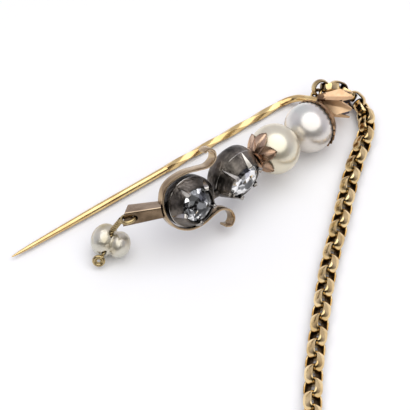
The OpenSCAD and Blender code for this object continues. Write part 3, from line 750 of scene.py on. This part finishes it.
bm = bmesh.new()
lean = Matrix.Rotation(math.pi / 2, 4, "Y") @ Matrix.Rotation(math.radians(45), 4, "Z")
bmesh.ops.create_circle(bm, segments=4, radius=1.2 * arm_root_r, cap_ends=True, matrix=lean)
rim = [e for e in bm.edges if e.is_boundary]
tip = points(bmesh.ops.extrude_edge_only(bm, edges=rim)["geom"])
bmesh.ops.translate(bm, verts=tip, vec=(arm_l + 1, 0, 0))
bmesh.ops.scale(bm, verts=tip, vec=(1, arm_end_r / arm_root_r, arm_end_r / arm_root_r))
corners = [e for e in bm.edges if abs(e.verts[0].co.x - e.verts[1].co.x) > 1]
bmesh.ops.bevel(bm, geom=corners, offset=arm_round, segments=3, profile=0.5, affect="EDGES",
                material=-1)
slant = Matrix.Rotation(arm_turn, 4, "X") @ Matrix.Rotation(-arm_slant, 4, "Z") @ Vector((1, 0, 0))
bmesh.ops.bisect_plane(bm, geom=bm.verts[:] + bm.edges[:] + bm.faces[:], plane_co=(arm_l, 0, 0),
                       plane_no=slant, clear_outer=True)
bmesh.ops.recalc_face_normals(bm, faces=bm.faces)
for f in bm.faces:
    if f.normal.dot(f.calc_center_median() - Vector((arm_l / 2, 0, 0))) < 0:
        f.normal_flip()
bmesh.ops.solidify(bm, geom=bm.faces[:], thickness=arm_wall)
bmesh.ops.recalc_face_normals(bm, faces=bm.faces)
# The near face takes the dark gold: a painted dark reflection.
for f in bm.faces:
    f.material_index = 1 if f.normal.z > 0.8 else 0
arm = keep("drop_arm", bm, arm_gold, "scroll_arm", arm_frame, crease=30)
arm.data.materials.append(arm_painted_reflection_gold)
tool = bmesh.new()
bmesh.ops.create_cone(tool, segments=32, radius1=arm_hole_r, radius2=arm_hole_r, depth=2,
                      cap_ends=True, matrix=arm_frame @ shift(arm_l - arm_hole_back, 0, 1))
cut(arm, tool)

# Drop wire: fine gold wire looped through the arm, its two ends twisted together, run down through
# the pearl and turned twice into a small loop at its foot.
wire_r, loop_r, foot_loop_r, turn_l = 0.19, 0.8, 0.56, 0.9
wire_top, wire_foot = Vector((10.45, -5.95, 3.9)), Vector((7.99, -7.01, 1.56))
foot_loop_at, foot_loop_face = Vector((7.6, -6.95, 1.17)), (-0.54, -0.72, 0.43)
loop_x, loop_z = arm_l - arm_hole_back + loop_r, 0.9 * arm_end_r - arm_wall
wire_gold = metal("wire_gold", (0.52, 0.4, 0.2), (0.3, 0.22, 0.1), 0.24,
                  grime_and_shade_colour=(0.06, 0.03, 0.015), grime_and_shade=0.8, reach=0.6)


def twist(name, start, end, strand_r):
    """Two strands wound round each other from start to end."""
    length = (end - start).length
    steps = int(24 * length)
    pitch = math.atan(math.tau * strand_r / turn_l)
    bm = bmesh.new()
    for strand in (0, 1):
        made = bmesh.ops.create_circle(bm, segments=10, radius=strand_r, cap_ends=False,
                                       matrix=Matrix.Rotation(strand * math.pi, 4, "Z")
                                       @ shift(strand_r, 0, 0)
                                       @ Matrix.Rotation(-pitch, 4, "X"))["verts"]
        bmesh.ops.spin(bm, geom=made + edges_of(made), axis=(0, 0, 1), cent=(0, 0, 0),
                       dvec=(0, 0, length / steps), angle=math.tau * length / turn_l, steps=steps)
    bmesh.ops.holes_fill(bm, edges=bm.edges[:], sides=0)
    keep(name, bm, wire_gold, "drop_wire", shift(*start) @ facing(end - start),
         crease=60)


bm = bmesh.new()
ring(bm, loop_r, 1.2 * wire_r)
keep("wire_loop", bm, wire_gold, "drop_wire",
     arm_frame @ shift(loop_x, 0, loop_z) @ Matrix.Rotation(math.pi / 2, 4, "X"))
bm = bmesh.new()
ring(bm, foot_loop_r, 1.1 * wire_r)
ring(bm, 0.55 * foot_loop_r, 0.6 * wire_r)
keep("wire_foot_loop", bm, wire_gold, "drop_wire",
     shift(*foot_loop_at) @ facing(foot_loop_face))
twist("wire_twist_upper", arm_frame @ Vector((loop_x + loop_r, 0, loop_z)), wire_top, 0.9 * wire_r)
twist("wire_twist_lower", wire_top, wire_foot, 0.6 * wire_r)

# Drop pearl: a grey-white baroque pearl of two lobes grown together, drilled beside the groove
# between them, uneven and a little wrinkled in the groove.
drop_at, drop_dir = Vector((9.95, -6.03, 2)), (0.53, -0.85, 0)
# A lobe's size: its radius, its half length and its place along the pearl.
big_lobe, small_lobe, lobe_rings = (2, 1.62, -0.72), (1.62, 1.3, 1.1), 32
groove_at, groove_half, drop_drill_r = 0.44, 0.35, 0.32
grey_nacre = nacre("grey_nacre", (0.66, 0.62, 0.52), (0.48, 0.4, 0.22), (0.6, 0.6, 0.52),
                   ripple=0.6, deep=0.0003, fine=900)
bm = bmesh.new()
outline = []
for r, half, place in (big_lobe, small_lobe):
    for i in range(lobe_rings + 1):
        angle = math.pi * i / lobe_rings
        z = place - half * math.cos(angle)
        if (z < groove_at) == (place == big_lobe[2]):
            outline.append((r * math.sin(angle), z))
lathe(bm, outline, 64)
for _ in range(3):
    groove = [v for v in bm.verts if abs(v.co.z - groove_at) < groove_half]
    bmesh.ops.smooth_vert(bm, verts=groove, factor=0.5, use_axis_x=True, use_axis_y=True,
                          use_axis_z=True)
for v in bm.verts:
    wrinkle = math.exp(-((v.co.z - groove_at) / groove_half) ** 2)
    outward = Vector((v.co.x, v.co.y, 0))
    v.co += outward * (0.06 * wrinkle * noise.noise(v.co * 3)
                       - 0.02 * (1 + noise.noise(v.co * 0.9)))
drop = keep("baroque_pearl", bm, grey_nacre, "drop_pearl",
            shift(*drop_at) @ facing(drop_dir), crease=60)
drill_from = wire_top + 0.3 * (wire_top - wire_foot)
drill_to = wire_foot + 0.3 * (wire_foot - wire_top)
tool = bmesh.new()
bmesh.ops.create_cone(tool, segments=24, radius1=drop_drill_r, radius2=drop_drill_r,
                      depth=(drill_to - drill_from).length, cap_ends=True,
                      matrix=shift(*((drill_from + drill_to) / 2)) @ facing(drill_to - drill_from))
cut(drop, tool)

# Jump ring: a ring bent from half-round gold wire, closed round the stem's eye and the chain's
# first link. Its outer side is polished and its inner side is painted dark as painted shade.
ring_at, ring_face, ring_r = Vector((43.8, -3.16, 3.79)), (-0.19, -0.81, 0.56), 0.95
ring_section = [(-0.14, -0.3), (-0.16, 0), (-0.14, 0.3), (-0.08, 0.55), (0.08, 0.55), (0.19, 0.26),
                (0.22, 0), (0.19, -0.26), (0.08, -0.55), (-0.08, -0.55)]
ring_gold = metal("ring_gold", (0.66, 0.5, 0.25), (0.3, 0.2, 0.09), 0.22,
                  grime_and_shade_colour=(0.04, 0.025, 0.012), grime_and_shade=0.95, reach=1)
link_inner_painted_shade = metal("painted_shade_link_inner_band", (0.14, 0.085, 0.035), (0.05, 0.03, 0.014), 0.3,
                    grime_and_shade_colour=(0.02, 0.012, 0.01), grime_and_shade=0.95, reach=0.8)
bm = bmesh.new()
lathe(bm, [(ring_r + x, z) for x, z in ring_section], 48, closed=True)
# Faces on the inner side take the dark material: painted shade.
for f in bm.faces:
    f.material_index = 1 if f.calc_center_median().xy.length < ring_r - 0.1 else 0
chain_ring = keep("chain_ring", bm, ring_gold, "jump_ring",
                  shift(*ring_at) @ facing(ring_face))
chain_ring.data.materials.append(link_inner_painted_shade)

# Chain: a belcher chain of pale gold. Each link is a band bent to an oval, flat inside and rounded
# outside, soldered shut, and the links turn a quarter one to the next as they lie on the table.
link_l, link_w, band_w, band_t = 2.62, 2.1, 1.12, 0.28
link_step, tight_links, tight_give, first_link, last_link = 1.7, 6, 0.3, 1.38, 1.3
lie = 1.08
route = [
    tuple(ring_at), (45, -3.4, 3.35), (46.1, -3.7, 2.65), (47, -4.4, 1.95), (47.5, -5.4, 1.5),
    (47.6, -6.5, 1.2)
] + [(x, y, lie) for x, y in (
    (47.3, -7.8), (46.6, -9), (45.5, -10.2), (44.2, -11.3), (42.8, -12.2), (39.7, -14.4),
    (36.9, -16.7), (34.5, -18.7), (31.9, -20.8), (29.3, -22.9), (26.7, -25.2), (24.2, -27.6),
    (21.8, -29.9), (19.4, -32.3), (17.1, -34.8), (14.9, -37.4), (12.9, -40), (10.9, -42.9),
    (9.2, -46.1), (7.9, -49.5), (7, -53), (6.6, -56.4), (6.5, -59))]
route_line = curve(route, 8)
route_s = [0]
for a, b in zip(route_line, route_line[1:]):
    route_s.append(route_s[-1] + (b - a).length)


def route_at(s):
    """The point at a distance along the chain's route."""
    for i in range(1, len(route_s)):
        if s <= route_s[i]:
            break
    share = (s - route_s[i - 1]) / (route_s[i] - route_s[i - 1])
    return route_line[i - 1].lerp(route_line[i], share)


def link_s(k):
    """How far along the route a link's middle lies."""
    return first_link + k * link_step - tight_give * min(k, tight_links)


def link_roll(k):
    return -45 if k % 2 == 0 else 45


chain_l = route_s[-1] + tight_give * tight_links - first_link - last_link
link_count = int(chain_l / link_step) + 1
chain_gold = metal("chain_gold", (0.92, 0.71, 0.39), (0.64, 0.44, 0.19), 0.14,
                   grime_and_shade_colour=(0.035, 0.02, 0.008), grime_and_shade=1, reach=1.1)
link = bmesh.new()
out, inside, half = link_w / 2, link_w / 2 - band_t, band_w / 2
band_section = [(inside, -half + 0.1), (inside, 0), (inside, half - 0.1), (inside + 0.06, half),
                (out - 0.1, half), (out - 0.03, 0.72 * half), (out - 0.005, 0.4 * half), (out, 0),
                (out - 0.005, -0.4 * half), (out - 0.03, -0.72 * half), (out - 0.1, -half),
                (inside + 0.06, -half)]
straight = link_l - link_w
for _ in range(2):
    loop = [link.verts.new((straight / 2, r, z)) for r, z in band_section]
    edges = [link.edges.new((loop[i], loop[(i + 1) % len(loop)])) for i in range(len(loop))]
    bmesh.ops.spin(link, geom=loop + edges, axis=(0, 0, -1), cent=(straight / 2, 0, 0),
                   dvec=(0, 0, 0), angle=math.pi, steps=14)
    bmesh.ops.rotate(link, verts=link.verts[:], cent=(0, 0, 0),
                     matrix=Matrix.Rotation(math.pi, 3, "Z"))
for y in (1, -1):
    seam = [e for e in link.edges if e.is_boundary and all(y * v.co.y > 0 for v in e.verts)]
    bmesh.ops.bridge_loops(link, edges=seam)
bmesh.ops.recalc_face_normals(link, faces=link.faces)
# The inner faces of each link take the dark material: painted shade inside the link.
for f in link.faces:
    middle = f.calc_center_median()
    middle.x -= max(-straight / 2, min(straight / 2, middle.x))
    f.material_index = 1 if middle.xy.length < inside + 0.02 else 0
link_mesh = bpy.data.meshes.new("one_link")
link.to_mesh(link_mesh)
link.free()
bm = bmesh.new()
for k in range(link_count):
    before = set(bm.verts)
    bm.from_mesh(link_mesh)
    reach = (link_s(k + 1) - link_s(k)) / 2
    ahead = route_at(link_s(k) + reach) - route_at(link_s(k) - reach)
    bmesh.ops.transform(bm, verts=[v for v in bm.verts if v not in before],
                        matrix=shift(*route_at(link_s(k))) @ along(ahead, link_roll(k)))
bpy.data.meshes.remove(link_mesh)
chain = keep("chain_links", bm, chain_gold, "chain", crease=40)
chain.data.materials.append(link_inner_painted_shade)

# Second pin: a plain straight pin of the same wire and gold, with a ball head on a swelling neck,
# and a small eye soldered beside the ball that holds the chain's last link.
second_l, ball_r, second_tip_z, ball_off = 43, 1.5, 0.2, 2.1
second_eye_r, second_eye_wire, second_eye_sink = 0.9, 0.25, 0.32
neck_l, neck_from_r, neck_to_r = 3.6, 0.52, 0.8
second_lean = math.asin((ball_r - second_tip_z) / second_l)
last_s = link_s(link_count - 1)
chain_end = route_at(last_s + last_link)
ball_at = Vector((chain_end.x + ball_off, chain_end.y - second_eye_r - second_eye_sink, ball_r))
neck_from = second_l - neck_l
bm = bmesh.new()
lathe(bm, shank(neck_from + 0.1)[:-1] + [(stem_r, neck_from), (neck_from_r, neck_from + 0.05),
                                         (neck_to_r, second_l), (0, second_l)], 32)
keep("second_shank", bm, gold, "second_pin",
     shift(*ball_at) @ Matrix.Rotation(-second_lean, 4, "Y") @ shift(-second_l, 0, 0)
     @ facing((1, 0, 0)))
bm = bmesh.new()
bmesh.ops.create_uvsphere(bm, u_segments=48, v_segments=32, radius=ball_r,
                          matrix=Matrix.Rotation(math.pi / 2, 4, "Y"))
keep("second_ball", bm, gold, "second_pin", shift(*ball_at), crease=60)
bm = bmesh.new()
ring(bm, second_eye_r, second_eye_wire)
keep("second_eye", bm, gold, "second_pin",
     shift(*chain_end) @ along(chain_end - route_at(last_s), link_roll(link_count)))
